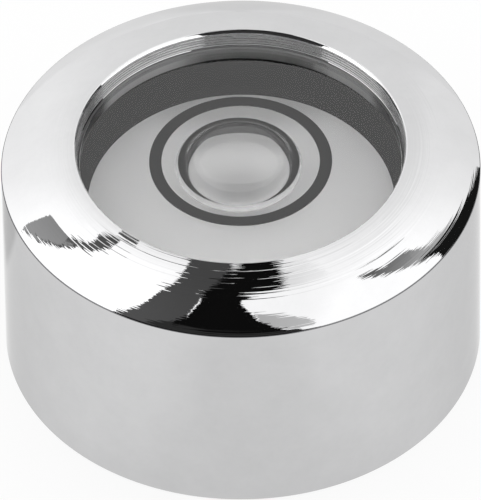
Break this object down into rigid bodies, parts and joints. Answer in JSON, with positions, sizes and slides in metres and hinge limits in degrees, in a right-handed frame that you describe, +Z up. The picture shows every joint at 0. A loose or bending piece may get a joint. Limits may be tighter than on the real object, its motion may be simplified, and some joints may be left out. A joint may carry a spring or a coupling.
{
  "type": "bullseye level",
  "caption": "Free-standing round bullseye level: a chrome plated turned body with a crowned rim, a flat glass window with a black target circle, and a sealed liquid vial with a bubble.",
  "frame": {"origin": "centre of the flat underside of the body", "axes": "+Z up along the axis of the turned body, -Y towards the side that the picture shows in front"},
  "size_m": [0.03, 0.03, 0.0165],
  "materials": {
    "chrome_plating": "bright chrome plating over fine turning lines",
    "clear_glass": "polished clear glass",
    "black_inlay": "black inlay, flush with the glass",
    "cement": "dark sealing cement",
    "seal_rubber": "matt black rubber",
    "black_cup": "glossy black",
    "pale_disc": "matt pale grey",
    "clear_liquid": "clear colourless liquid",
    "plug_brass": "turned brass",
    "cover_aluminium": "satin turned aluminium"
  },
  "bodies": {
    "root": {"housing": "chrome_plating", "window": "clear_glass", "target_ring": "black_inlay", "cement_ring": "cement", "window_seal": "seal_rubber", "vial_cup": "black_cup", "reflector_disc": "pale_disc", "vial_liquid": "clear_liquid", "filler_plug": "plug_brass", "plug_washer": "seal_rubber", "base_cover": "cover_aluminium"}
  },
  "joints": []
}
